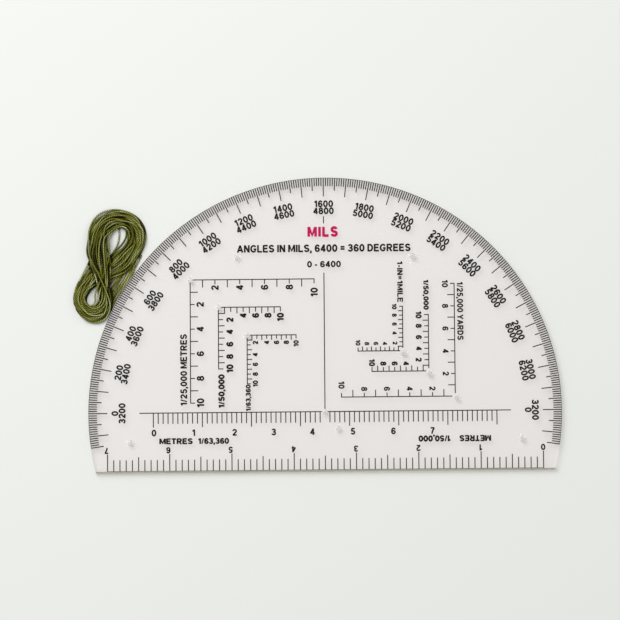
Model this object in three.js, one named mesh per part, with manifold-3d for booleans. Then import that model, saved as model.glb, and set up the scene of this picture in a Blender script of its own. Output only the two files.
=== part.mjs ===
// A clear plastic map protractor with its cord.
// The plate is a segment of a six inch circle. Its rim is divided into mils, a straight scale runs
// along the baseline and another along the straight edge, and six small corner grids read map squares.
// A thin cord, twisted into a hank like a figure of eight, lies beside the rim with one loose end.
// Millimetres, Z up. The underside of the plate is the plane z = 0.

import * as THREE from "three";
import { mergeVertices } from "three/addons/utils/BufferGeometryUtils.js";
import Module from "manifold-3d";

const wasm = await Module();
wasm.setup();

// Plate
const arcRadius = 76.2; // half of six inches
const chordDrop = 19.3; // from the baseline down to the straight edge
const plateThickness = 1.5;
const bevelWidth = 0.5; // the ruling bevel along the straight edge
const bevelDepth = 0.7;
const bevelOverrun = 1;
const holeDiameter = 1.5;
const holeSides = 16;

// Printing
const inkThickness = 0.05;
const lineWidth = 0.32;
const inkHoleGap = 0.15; // clear plastic between a line and the hole it runs up to

// Ticks stand on a scale's line at every part, longer at every fifth and longest at every tenth
const halfGroup = 5;
const wholeGroup = 10;

// Ring of mils, counted from the left end of the baseline
const milsPerTurn = 6400;
const milsPerPart = 10;
const ringMargin = 0.1; // clear plastic outside the ring's rim line
const rimLineWidth = 0.12;
const overrunParts = 15; // printed below the baseline at each end
const ringTicks = { whole: 6.1, half: 4.15, part: 2.7 };
const flatParts = 5; // to each flat of the rim

// Lines up the middle. Two rows of numbers stand between the ring and the upper line.
const numberBand = 6.5;
const upperLineLength = 2.3;
const centreLineShare = 0.592; // of the arc radius, up to the top of the centre line

// Scale under the baseline: kilometres at 1/63,360, ten parts to each
const baseStep = 1.578;
const baseParts = 70;
const baseTicks = { whole: 4.65, half: 3.5, part: 3.5 };
const baseLineOverrun = 4.5;

// Scale along the straight edge: kilometres at 1/50,000, ten parts to each
const edgeStep = 2;
const edgeParts = 70;
const edgeTicks = { whole: 5.5, half: 4.6, part: 3.65 };
const edgeLineWidth = 0.12;

// Corner grids: ten steps on each of two arms that leave a drilled corner
const gridSteps = 10;
const openTicks = { longShare: 0.62, shortShare: 0.36 }; // of a step, where the arms stand apart
const joinedTicks = { longShare: 1, shortShare: 0.75 }; // of a step, where the first ticks close a square
const mapStep = {
  metres25: 4,
  metres50: 2,
  metres63: 1.578,
  yards25: 3.658,
  yards50: 1.829,
  mile: 1.443,
};
// From the centre line to the end of the arm that runs towards it
const endGap = {
  metres25: 3.2,
  metres50: 14.14,
  metres63: 9.14,
  yards25: 5.35,
  yards50: 15.23,
  mile: 10.8,
};

// Each corner stands above the baseline by a share of the arc radius. driftShares say how far the
// drilled hole has strayed from the corner, in hole diameters. A turned grid is read from the other side.
const grids = [
  {
    name: "grid_25000_metres",
    map: "metres25",
    heightShare: 0.566,
    driftShares: [0.04, -0.06],
  },
  {
    name: "grid_50000_metres",
    map: "metres50",
    heightShare: 0.448,
    driftShares: [0.07, 0.04],
    joined: true,
  },
  {
    name: "grid_63360_metres",
    map: "metres63",
    heightShare: 0.328,
    driftShares: [0.01, 0.03],
    joined: true,
  },
  {
    name: "grid_25000_yards",
    map: "yards25",
    heightShare: 0.061,
    driftShares: [0.25, -0.25],
    turned: true,
  },
  {
    name: "grid_50000_yards",
    map: "yards50",
    heightShare: 0.169,
    driftShares: [0.2, -0.55],
    turned: true,
    joined: true,
  },
  {
    name: "grid_inch_to_mile",
    map: "mile",
    heightShare: 0.256,
    driftShares: [0.1, -0.5],
    turned: true,
    joined: true,
  },
];

// The other drilled holes, as shares of the arc radius. The first is the index hole.
const holeShares = [
  [0, 0],
  [-0.823, -0.124],
  [0.055, -0.07],
  [0.83, -0.119],
  [-0.37, 0.663],
  [0.376, 0.66],
];

// Cord
const cordDiameter = 0.5;
const strandPitch = 0.96; // between neighbouring strands, middle to middle
const layerRise = 1;
const rimGap = 0.45; // between the plate's rim and the nearest strand
const crownCentreX = -67.4; // middle of the hank's upper lobe, from the arc's centre
const crownCentreY = 57.1;
const crownInnerRadius = 2.85;
const footInnerRadius = 1.187;
const footBearing = 153.8; // degrees round the arc's centre to the middle of the lower lobe
const crossedLoops = 12; // loops twisted at the waist, in two layers
const plainLoops = 1; // loops that run straight down both sides, on top
const loopSteps = { crown: 9, underLeg: 3, foot: 8, overLeg: 4 };
const hankSides = 6;
const startSteps = 11; // steps before the first loop, round the foot and up the left side
const endSteps = 3; // steps of the crown past the last loop
const plainPlaceShare = 0.8; // of a pitch past the last place, where the plain strands round the foot
const lift = { crownShare: 0.8, footShare: 0.75 }; // of each lobe, how far the over leg's rise reaches
const tailSides = 8;
const tailStepDiameters = 2.5;
const jointGap = 0.3;
// The loose end's route along the rim, from the arc's centre, chosen by hand
const tailRoute = [
  [-58.98, 51.73],
  [-59.5, 50.55],
  [-60.05, 49.4],
  [-60.65, 48.3],
  [-61.3, 47.2],
  [-62.0, 46.1],
  [-62.65, 45.0],
  [-63.3, 43.9],
  [-63.95, 42.8],
  [-64.65, 41.65],
  [-65.35, 40.5],
  [-66.0, 39.4],
  [-66.65, 38.3],
  [-67.25, 37.25],
  [-67.8, 36.2],
];

// Colours
const plasticColour = "#e6e2dc";
const inkColour = "#1d1b1c";
const cordColour = "#5d6420";

// Worked out from the sizes above
const modelShift = (arcRadius - chordDrop) / 2; // from the arc's centre to the middle of the box
const ringRadius = arcRadius - ringMargin;
const lineStart = holeDiameter / 2 + inkHoleGap;
const cordRadius = cordDiameter / 2;
const partsPerTurn = milsPerTurn / milsPerPart;
const halfRing = partsPerTurn / 2; // parts along the ring, above the baseline
const ringAngle = (part) => Math.PI - (part / partsPerTurn) * 2 * Math.PI;
const onCircle = (radius, angle) => new THREE.Vector2(radius * Math.cos(angle), radius * Math.sin(angle));

const group = new THREE.Group();
const drawing = new THREE.Group(); // its origin is the arc's centre
drawing.position.y = -modelShift;
group.add(drawing);

const finish = (color, roughness) => new THREE.MeshStandardMaterial({ color, roughness, metalness: 0 });
const plastic = finish(plasticColour, 0.15);
const ink = finish(inkColour, 0.6);
const cord = finish(cordColour, 0.85);

function addPiece(name, geometry, material) {
  const mesh = new THREE.Mesh(geometry, material);
  mesh.name = name;
  drawing.add(mesh);
  return mesh;
}

// Solids for joining and cutting
function solidOf(geometry) {
  const bare = geometry.clone();
  bare.deleteAttribute("normal");
  bare.deleteAttribute("uv");
  const merged = mergeVertices(bare);
  return new wasm.Manifold(
    new wasm.Mesh({
      numProp: 3,
      vertProperties: new Float32Array(merged.attributes.position.array),
      triVerts: new Uint32Array(merged.index.array),
    }),
  );
}

function geometryOf(solid) {
  const mesh = solid.getMesh();
  const geometry = new THREE.BufferGeometry();
  geometry.setAttribute("position", new THREE.BufferAttribute(mesh.vertProperties, 3));
  geometry.setIndex(new THREE.BufferAttribute(mesh.triVerts, 1));
  geometry.computeVertexNormals();
  return geometry;
}

function joinAll(solids) {
  return solids.reduce((whole, solid) => whole.add(solid)).asOriginal().simplify();
}

// Plate
function plateOutline() {
  const cornerAngle = Math.asin(chordDrop / arcRadius);
  const cornerParts = (cornerAngle / (2 * Math.PI)) * partsPerTurn;
  const points = [onCircle(arcRadius, Math.PI + cornerAngle)];
  const first = Math.ceil(-cornerParts / flatParts) * flatParts;
  for (let part = first; part < halfRing + cornerParts; part += flatParts) {
    points.push(onCircle(arcRadius, ringAngle(part)));
  }
  points.push(onCircle(arcRadius, -cornerAngle));
  return points.reverse();
}

function gridCorner({ map, heightShare, turned }) {
  const reach = gridSteps * mapStep[map] + endGap[map];
  return [turned ? reach : -reach, heightShare * arcRadius];
}

function gridHole(grid) {
  return gridCorner(grid).map((place, axis) => place + grid.driftShares[axis] * holeDiameter);
}

function makePlate() {
  const outline = new THREE.Shape(plateOutline());
  const loneHoles = holeShares.map((shares) => shares.map((share) => share * arcRadius));
  for (const [x, y] of [...loneHoles, ...grids.map(gridHole)]) {
    const hole = new THREE.Path();
    hole.absarc(x, y, holeDiameter / 2, 0, 2 * Math.PI, true);
    outline.holes.push(hole);
  }
  const sheet = new THREE.ExtrudeGeometry(outline, {
    depth: plateThickness,
    bevelEnabled: false,
    curveSegments: holeSides / 2,
  });
  // The wedge that bevels the straight edge, drawn looking along it
  const slope = bevelDepth / bevelWidth;
  const wedge = new THREE.Shape([
    new THREE.Vector2(bevelWidth + bevelOverrun, plateThickness + bevelOverrun * slope),
    new THREE.Vector2(-bevelOverrun, plateThickness + bevelOverrun * slope),
    new THREE.Vector2(-bevelOverrun, plateThickness - bevelDepth - bevelOverrun * slope),
  ]);
  const cutter = new THREE.ExtrudeGeometry(wedge, { depth: 2 * arcRadius, bevelEnabled: false });
  cutter.applyMatrix4(
    new THREE.Matrix4().makeBasis(
      new THREE.Vector3(0, 1, 0),
      new THREE.Vector3(0, 0, 1),
      new THREE.Vector3(1, 0, 0),
    ),
  );
  cutter.translate(-arcRadius, -chordDrop, 0);
  return geometryOf(solidOf(sheet).subtract(solidOf(cutter)));
}

// Printed lines: each is a flat bar on top of the plate
function bar(x0, y0, x1, y1) {
  const box = new THREE.BoxGeometry(Math.abs(x1 - x0), Math.abs(y1 - y0), inkThickness);
  box.translate((x0 + x1) / 2, (y0 + y1) / 2, plateThickness + inkThickness / 2);
  return box;
}

const barAcross = (x0, x1, y, width = lineWidth) => bar(x0, y - width / 2, x1, y + width / 2);
const barUp = (x, y0, y1) => bar(x - lineWidth / 2, y0, x + lineWidth / 2, y1);

function printed(name, bars) {
  return addPiece(name, geometryOf(joinAll(bars.map(solidOf))), ink);
}

function tickReach(ticks, part) {
  if (part % wholeGroup === 0) return ticks.whole;
  return part % halfGroup === 0 ? ticks.half : ticks.part;
}

function printRing() {
  const rimLine = [];
  for (const radius of [ringRadius, ringRadius - rimLineWidth]) {
    const edge = [];
    for (let part = -overrunParts; part <= halfRing + overrunParts; part += flatParts) {
      edge.push(onCircle(radius, ringAngle(part)));
    }
    rimLine.push(...(rimLine.length ? edge.reverse() : edge));
  }
  const band = new THREE.ExtrudeGeometry(new THREE.Shape(rimLine.reverse()), {
    depth: inkThickness,
    bevelEnabled: false,
  });
  band.translate(0, 0, plateThickness);
  const bars = [band];
  for (let part = -overrunParts; part <= halfRing + overrunParts; part += 1) {
    const tick = barAcross(ringRadius - tickReach(ringTicks, part), ringRadius - rimLineWidth / 2, 0);
    tick.rotateZ(ringAngle(part));
    bars.push(tick);
  }
  printed("mil_ring", bars);
}

function printMiddleLines() {
  const upperLineTop = ringRadius - ringTicks.whole - numberBand;
  printed("centre_line", [barUp(0, lineStart, centreLineShare * arcRadius)]);
  printed("upper_line", [barUp(0, upperLineTop - upperLineLength, upperLineTop)]);
}

// The baseline is broken at the index hole
function printBaseScale() {
  const half = (baseParts * baseStep) / 2;
  for (const [name, side] of [["base_scale_left", -1], ["base_scale_right", 1]]) {
    const bars = [barAcross(side * lineStart, side * (half + baseLineOverrun), 0)];
    for (let part = 0; part <= baseParts; part += 1) {
      const x = part * baseStep - half;
      if (x * side > lineStart) bars.push(barUp(x, -tickReach(baseTicks, part), 0));
    }
    printed(name, bars);
  }
}

function printEdgeScale() {
  const half = (edgeParts * edgeStep) / 2;
  const foot = bevelWidth - chordDrop;
  const bars = [bar(-half - lineWidth / 2, foot, half + lineWidth / 2, foot + edgeLineWidth)];
  for (let part = 0; part <= edgeParts; part += 1) {
    bars.push(barUp(part * edgeStep - half, foot, foot + tickReach(edgeTicks, part)));
  }
  printed("edge_scale", bars);
}

// One arm runs right from the corner and the other down; a turned grid runs left and up.
function printGrid(grid) {
  const { name, map, turned, joined } = grid;
  const step = mapStep[map];
  const ticks = joined ? joinedTicks : openTicks;
  const reach = gridSteps * step + lineWidth / 2;
  const across = [barAcross(lineStart, reach, 0)];
  const down = [barUp(0, -reach, -lineStart)];
  for (let mark = 1; mark <= gridSteps; mark += 1) {
    const tick = step * (mark % 2 ? ticks.longShare : ticks.shortShare);
    const closing = joined && mark === 1 ? lineWidth / 2 : 0; // the first two ticks meet in a square
    across.push(barUp(mark * step, -tick - closing, 0));
    down.push(barAcross(0, tick + closing, -mark * step));
  }
  const pieces = joined
    ? [printed(name, [...across, ...down])]
    : [printed(name + "_across", across), printed(name + "_along", down)];
  for (const piece of pieces) {
    piece.position.set(...gridCorner(grid), 0);
    piece.rotation.z = turned ? Math.PI : 0;
  }
}

// Hank. Each loop goes over the crown, leaves it on the right and passes under the other leg,
// rounds the foot, and comes back over to the crown's left. The loops spiral in on the floor,
// climb a layer and spiral out again on top.
const climbTurn = crossedLoops / 2;
const stepsPerLoop = Object.values(loopSteps).reduce((sum, steps) => sum + steps);
const plainFootRadius = footInnerRadius + strandPitch * (climbTurn + plainPlaceShare);
const crownCentre = new THREE.Vector2(crownCentreX, crownCentreY);
const footCentre = onCircle(
  arcRadius + rimGap + cordRadius + plainFootRadius,
  THREE.MathUtils.degToRad(footBearing),
);
const lobeSpan = crownCentre.distanceTo(footCentre);
const hankUp = crownCentre.clone().sub(footCentre).normalize();
const hankRight = new THREE.Vector2(hankUp.y, -hankUp.x);

const isCrossed = (loop) => loop >= 0 && loop < crossedLoops;
const crownRadiusAt = (turn) => crownInnerRadius + strandPitch * Math.abs(turn - climbTurn);

const footRadiusAt = (turn) =>
  isCrossed(Math.floor(turn))
    ? footInnerRadius + strandPitch * (climbTurn - Math.abs(turn - climbTurn))
    : plainFootRadius;

// How far past square to the hank's length the cord rounds each lobe
const lean = Math.asin((crownRadiusAt(0) + footInnerRadius) / lobeSpan);

const aroundLobe = (centre, radius, angle) =>
  centre
    .clone()
    .addScaledVector(hankRight, radius * Math.cos(angle))
    .addScaledVector(hankUp, radius * Math.sin(angle));

function crownPoint(loop, step) {
  const angle = THREE.MathUtils.lerp(Math.PI + lean, -lean, step / loopSteps.crown);
  return aroundLobe(crownCentre, crownRadiusAt(loop + step / stepsPerLoop), angle);
}

function footPoint(loop, step) {
  const done = step / loopSteps.foot;
  const share = isCrossed(loop) ? done : 1 - done; // a plain loop rounds the foot the other way
  const angle = THREE.MathUtils.lerp(Math.PI - lean, 2 * Math.PI + lean, share);
  const turn = loop + (loopSteps.crown + loopSteps.underLeg + step) / stepsPerLoop;
  return aroundLobe(footCentre, footRadiusAt(turn), angle);
}

// Where the cord is seen from above, a number of steps after the first loop begins
function planPoint(station) {
  const loop = Math.floor(station / stepsPerLoop);
  let step = station - loop * stepsPerLoop;
  if (step <= loopSteps.crown) return crownPoint(loop, step);
  step -= loopSteps.crown;
  if (step < loopSteps.underLeg) {
    return crownPoint(loop, loopSteps.crown).lerp(footPoint(loop, 0), step / loopSteps.underLeg);
  }
  step -= loopSteps.underLeg;
  if (step <= loopSteps.foot) return footPoint(loop, step);
  step -= loopSteps.foot;
  return footPoint(loop, loopSteps.foot).lerp(crownPoint(loop + 1, 0), step / loopSteps.overLeg);
}

// How much of two layers the cord stands up: all of them on the over leg, and less and less
// round the lobes beside it
function liftShare(station) {
  const loop = Math.floor(station / stepsPerLoop);
  const step = station - loop * stepsPerLoop;
  const legStart = stepsPerLoop - loopSteps.overLeg;
  if (step >= legStart) return isCrossed(loop) ? 1 : 0;
  if (isCrossed(loop - 1) && step < loopSteps.crown) {
    return THREE.MathUtils.smoothstep(1 - step / (loopSteps.crown * lift.crownShare), 0, 1);
  }
  if (!isCrossed(loop)) return 0;
  return THREE.MathUtils.smoothstep(1 - (legStart - step) / (loopSteps.foot * lift.footShare), 0, 1);
}

function hankPoint(station) {
  const climb = THREE.MathUtils.clamp(1 + (station - climbTurn * stepsPerLoop) / loopSteps.overLeg, 0, 1);
  const plan = planPoint(station);
  return new THREE.Vector3(plan.x, plan.y, cordRadius + layerRise * (climb + 2 * liftShare(station)));
}

// A point one cord diameter beyond the first of two points, in line with them
const runOut = (point, next) =>
  point.clone().addScaledVector(point.clone().sub(next).normalize(), cordDiameter);

function hankRoute() {
  const last = (crossedLoops + plainLoops) * stepsPerLoop + endSteps;
  const points = [];
  for (let station = -startSteps; station <= last; station += 1) points.push(hankPoint(station));
  return [runOut(points[0], points[1]), ...points, runOut(points.at(-1), points.at(-2))];
}

// A closed tube of flat sides round a list of points
function tube(points, sides, radius) {
  const up = new THREE.Vector3(0, 0, 1);
  const corners = [];
  points.forEach((point, i) => {
    const back = point.clone().sub(points[Math.max(i - 1, 0)]).normalize();
    const ahead = points[Math.min(i + 1, points.length - 1)].clone().sub(point).normalize();
    const along = back.add(ahead).normalize();
    const side = along.clone().cross(up).normalize();
    const top = side.clone().cross(along);
    for (let k = 0; k < sides; k += 1) {
      const angle = (2 * Math.PI * k) / sides;
      const corner = point.clone().addScaledVector(side, radius * Math.cos(angle));
      corners.push(...corner.addScaledVector(top, radius * Math.sin(angle)).toArray());
    }
  });
  const faces = [];
  for (let ring = 0; ring < points.length - 1; ring += 1) {
    for (let k = 0; k < sides; k += 1) {
      const a = ring * sides + k;
      const b = ring * sides + ((k + 1) % sides);
      faces.push(a, a + sides, b, b, a + sides, b + sides);
    }
  }
  const end = (points.length - 1) * sides;
  for (let k = 1; k < sides - 1; k += 1) {
    faces.push(0, k, k + 1, end, end + k + 1, end + k);
  }
  const geometry = new THREE.BufferGeometry();
  geometry.setAttribute("position", new THREE.Float32BufferAttribute(corners, 3));
  geometry.setIndex(faces);
  geometry.computeVertexNormals();
  return geometry;
}

// The least space between two stretches of the cord that aren't neighbours along it
function leastGap(route) {
  const parts = 6;
  const apart = 6 * cordDiameter;
  const marks = [];
  let along = 0;
  for (let i = 0; i < route.length - 1; i += 1) {
    const length = route[i].distanceTo(route[i + 1]);
    for (let k = 0; k < parts; k += 1) {
      const point = route[i].clone().lerp(route[i + 1], k / parts);
      marks.push({ point, along: along + (length * k) / parts });
    }
    along += length;
  }
  let least = Infinity;
  for (let i = 0; i < marks.length; i += 1) {
    for (let k = i + 1; k < marks.length; k += 1) {
      if (marks[k].along - marks[i].along < apart) continue;
      least = Math.min(least, marks[i].point.distanceToSquared(marks[k].point));
    }
  }
  return { gap: Math.sqrt(least) - cordDiameter, length: along };
}

// The loose end: it starts free near the crown, follows the rim and meets the hank at the foot
function makeTail(hankStart, hankNext) {
  const points = tailRoute.map(([x, y]) => new THREE.Vector3(x, y, cordRadius));
  const inward = hankNext.clone().sub(hankStart).normalize();
  const meeting = hankStart.clone().addScaledVector(inward, -jointGap);
  points.push(meeting.clone().addScaledVector(inward, -cordDiameter), meeting);
  const curve = new THREE.CatmullRomCurve3(points);
  const section = new THREE.Shape();
  for (let k = 0; k < tailSides; k += 1) {
    const corner = onCircle(cordRadius, (2 * Math.PI * k) / tailSides);
    if (k) section.lineTo(corner.x, corner.y);
    else section.moveTo(corner.x, corner.y);
  }
  const length = curve.getLength();
  console.log("loose end", length.toFixed(1), "mm");
  return new THREE.ExtrudeGeometry(section, {
    steps: Math.round(length / (tailStepDiameters * cordDiameter)),
    extrudePath: curve,
    bevelEnabled: false,
  });
}

addPiece("plate", makePlate(), plastic);
printRing();
printMiddleLines();
printBaseScale();
printEdgeScale();
grids.forEach(printGrid);

const hank = hankRoute();
const { gap, length } = leastGap(hank);
console.log("hank", length.toFixed(0), "mm long, least gap to itself", gap.toFixed(3), "mm");
addPiece("cord_hank", tube(hank, hankSides, cordRadius), cord);
addPiece("cord_tail", makeTail(hank[0], hank[1]), cord);

export default group;
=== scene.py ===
import bpy
import bmesh
import math
import numpy as np
from mathutils import Matrix, Vector, kdtree


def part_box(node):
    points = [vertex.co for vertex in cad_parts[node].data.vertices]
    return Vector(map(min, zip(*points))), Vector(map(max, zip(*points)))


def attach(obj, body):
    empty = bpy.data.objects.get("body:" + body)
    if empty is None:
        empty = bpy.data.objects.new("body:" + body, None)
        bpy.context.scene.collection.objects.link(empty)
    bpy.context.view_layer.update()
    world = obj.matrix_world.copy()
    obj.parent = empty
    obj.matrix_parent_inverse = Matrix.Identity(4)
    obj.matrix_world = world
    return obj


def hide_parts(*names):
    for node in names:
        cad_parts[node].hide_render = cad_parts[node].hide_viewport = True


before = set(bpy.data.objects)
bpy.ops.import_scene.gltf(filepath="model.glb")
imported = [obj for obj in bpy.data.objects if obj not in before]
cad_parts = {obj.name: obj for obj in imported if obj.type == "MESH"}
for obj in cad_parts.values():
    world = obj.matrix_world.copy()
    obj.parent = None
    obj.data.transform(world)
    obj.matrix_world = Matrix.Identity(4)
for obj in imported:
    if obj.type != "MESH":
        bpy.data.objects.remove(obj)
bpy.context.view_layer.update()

mm = 0.001
plateLow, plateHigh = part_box("plate")
plateTop = plateHigh.z / mm
arcRadius = plateHigh.x / mm
chordY = plateLow.y / mm  # the straight edge
arcCentreY = plateHigh.y / mm - arcRadius  # the middle of the arc, which is the index hole
inkThickness = (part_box("centre_line")[1].z - plateHigh.z) / mm


def place(x, y, z=0.0):
    # a point measured from the arc's centre, in metres in the part's frame
    return Vector((x * mm, (y + arcCentreY) * mm, z * mm))


def linear(hexColour):
    # an sRGB hex value turned to linear, with its alpha
    values = []
    for start in (1, 3, 5):
        c = int(hexColour[start:start + 2], 16) / 255
        values.append(c / 12.92 if c <= 0.04045 else ((c + 0.055) / 1.055) ** 2.4)
    return (*values, 1.0)


def addNode(tree, kind, inputs=None, ramp=(), **options):
    # adds a shader node; an input takes another node, one of its outputs, or a plain value, and ramp
    # gives the places and colours of a colour ramp
    node = tree.nodes.new(kind)
    for name, value in options.items():
        setattr(node, name, value)
    for name, value in (inputs or {}).items():
        if isinstance(value, bpy.types.Node):
            value = value.outputs[0]
        if isinstance(value, bpy.types.NodeSocket):
            tree.links.new(value, node.inputs[name])
        else:
            node.inputs[name].default_value = value
    for number, (position, colour) in enumerate(ramp):
        node.color_ramp.elements[number].position = position
        node.color_ramp.elements[number].color = linear(colour)
    return node


def newMaterial(name):
    material = bpy.data.materials.new(name)
    material.use_nodes = True
    material.node_tree.nodes.clear()
    return material, material.node_tree


def deselectAll():
    if bpy.context.object and bpy.context.object.mode != "OBJECT":
        bpy.ops.object.mode_set(mode="OBJECT")
    bpy.ops.object.select_all(action="DESELECT")


def makeActive(piece):
    deselectAll()
    piece.select_set(True)
    bpy.context.view_layer.objects.active = piece


def bakePlace(piece):
    # the piece's object goes to the origin and its place into its mesh
    piece.data.transform(piece.matrix_basis)
    piece.matrix_basis = Matrix.Identity(4)


def newPiece(name, mesh):
    piece = bpy.data.objects.new(name, mesh)
    bpy.context.scene.collection.objects.link(piece)
    return piece


def finishPiece(piece, name, slot, *materials):
    piece.name = name
    piece.data.name = name
    piece.data.materials.clear()
    for material in materials:
        piece.data.materials.append(material)
    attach(piece, "root")


# Camera, fitted to the photograph
cameraSettings = {
    "aim": (-4.58, 33.0),  # where the middle of the picture falls on the plate, from the arc's centre
    "distance": 1633,
    "azimuth": 6.38,
    "elevation": 82.32,
    "roll": -6.87,
    "sensor": 36,
    "focalShare": 8.171,  # focal length over the picture's width
    "nearest": 10,
    "farthest": 20000,
}


def makeCamera():
    s = cameraSettings
    azimuth, elevation = math.radians(s["azimuth"]), math.radians(s["elevation"])
    back = Vector((
        math.sin(azimuth) * math.cos(elevation),
        -math.cos(azimuth) * math.cos(elevation),
        math.sin(elevation),
    ))
    aim = place(*s["aim"], plateTop)
    roll = Matrix.Rotation(math.radians(s["roll"]), 3, "Z")
    turn = (-back).to_track_quat("-Z", "Y").to_matrix() @ roll
    bpy.ops.object.camera_add(location=aim + back * s["distance"] * mm, rotation=turn.to_euler())
    camera = bpy.context.object
    camera.name = "photo_camera"
    camera.data.sensor_width = s["sensor"]
    camera.data.lens = s["sensor"] * s["focalShare"]
    camera.data.clip_start = s["nearest"] * mm
    camera.data.clip_end = s["farthest"] * mm
    bpy.context.scene.camera = camera


makeCamera()
print("camera placed")


# Cord: one length of thin twisted cord. The hank is wound over two lobes, a crown and a foot. Most of
# its loops cross at the waist and the others run plain down both sides. One loose end lies along the rim.
# A strand's lane says where it lies in the band of its lobe, 0 at the opening and 1 on the outside.
cordSettings = {
    "diameter": 0.5,
    "crown": {
        "centre": (-67.4, 57.1),
        "longShare": 0.04,  # how much longer the lobe is than its mean radius
        "longAngle": 55,  # and in which direction, from the hank's right
        "dent": 0.06,  # share by which the strands draw in at the upper left
        "dentAngle": 160,
        "innerShift": (1.3, 0.4),  # of the innermost strands' middle, across and along
        "crossed": (2.9, 9.65),  # radii between which the strands lie
        "plain": (5.2, 9.6),
    },
    "foot": {
        "centre": (-74.45, 36.8),
        "longShare": 0.09,
        "longAngle": 136,
        "dent": 0.0,
        "dentAngle": 0,
        "innerShift": (-1.6, 0.2),
        "crossed": (1.45, 6.2),
        "plain": (2.9, 6.2),
    },
    "dentSpread": 28,  # how far a dent reaches to each side
    # loops in the order wound, x crossed and p plain
    "order": "pxpxpxxpxpxxpxpxxpxpxxxxxxxxxx",
    "plainAngle": 2,  # below a lobe's level line, where plain loops come to it and leave it
    # how far the legs between the lobes bow to the right, and swing to the left above their middle and to
    # the right below it, each for the inner and the outer strands: those that cross over, cross under,
    # lie plain on the left, and lie plain on the right beside the plate
    "overBow": (1.5, -1.5),
    "overSwing": (-0.5, 1.4),
    "underBow": (-0.8, 1.2),
    "underSwing": (0.0, -1.5),
    "plainBow": (2.8, 2.0),
    "plainSwing": (-0.4, -0.9),
    "rimBow": (-0.6, 1.7),
    "rimSwing": (-0.4, -0.6),
    "bowScatter": 0.2,
    "laneWander": 0.45,  # share of the band that a strand drifts by along its loop
    "topWander": 0.6,  # the same in the last few loops, which lie spread out on top
    "topLoops": 9,
    "topLanes": (0.02, 0.98),  # the lanes that these are spread over
    # shares of the loop at which a strand leaves the crown, comes to the foot and leaves it
    "crownEnd": 0.45,
    "footStart": 0.55,
    "footEnd": 0.9,
    # loops that start inside the crown's opening, with their places there
    "strays": {
        22: [(-69.35, 51.1), (-67.1, 54.0), (-66.15, 56.9), (-66.1, 59.0), (-66.6, 61.0), (-67.7, 62.4)],
        25: [(-69.75, 50.5), (-66.9, 53.4), (-64.8, 55.7), (-63.6, 58.1), (-63.9, 60.4), (-65.5, 62.2)],
    },
    "strayShare": 0.6,  # of the crown's arc, past which they join its band again
    "strayLane": (0.55, 0.37),  # a share of that arc, and their lane there
    # one of the last loops stands off the crown at the upper left and the foot at the lower right
    "outlierLeast": 0.85,  # its least lane on the crown
    "outlierFrom": 0.45,  # share of the crown's arc from which it keeps to outlierLanes
    # its lanes at shares of the crown's arc and of the foot's
    "outlierLanes": {0.5: 0.95, 0.6: 1.0, 0.7: 1.08, 0.78: 1.03, 0.88: 0.9, 1.0: 0.85},
    "outlierFoot": {0.0: 0.85, 0.2: 1.0, 0.33: 1.1, 0.5: 1.12, 0.65: 1.0, 1.0: 0.9},
    "rise": 0.07,  # from each loop to the next, before settling
    "crossRise": 2.0,  # of the leg that crosses over
    "entryAngle": -8,  # on the foot, where the loose end comes in from the rim
    "crownPoints": 12,
    "footPoints": 10,
    "legShares": (0.17, 0.33, 0.5, 0.67, 0.83),
    "driftPoints": 10,
    "finalStep": 0.3,  # between the rings of the finished tube
    "sides": 12,
    "depthReach": 1.0,  # how far round a strand others count as lying above it
    "seed": 15,
}

# The loose end's route along the rim, from the arc's centre, as in the part's source
tailRoute = [
    (-58.98, 51.73), (-59.5, 50.55), (-60.05, 49.4), (-60.65, 48.3), (-61.3, 47.2),
    (-62.0, 46.1), (-62.65, 45.0), (-63.3, 43.9), (-63.95, 42.8), (-64.65, 41.65),
    (-65.35, 40.5), (-66.0, 39.4), (-66.65, 38.3), (-67.25, 37.25), (-67.8, 36.2),
]


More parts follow.
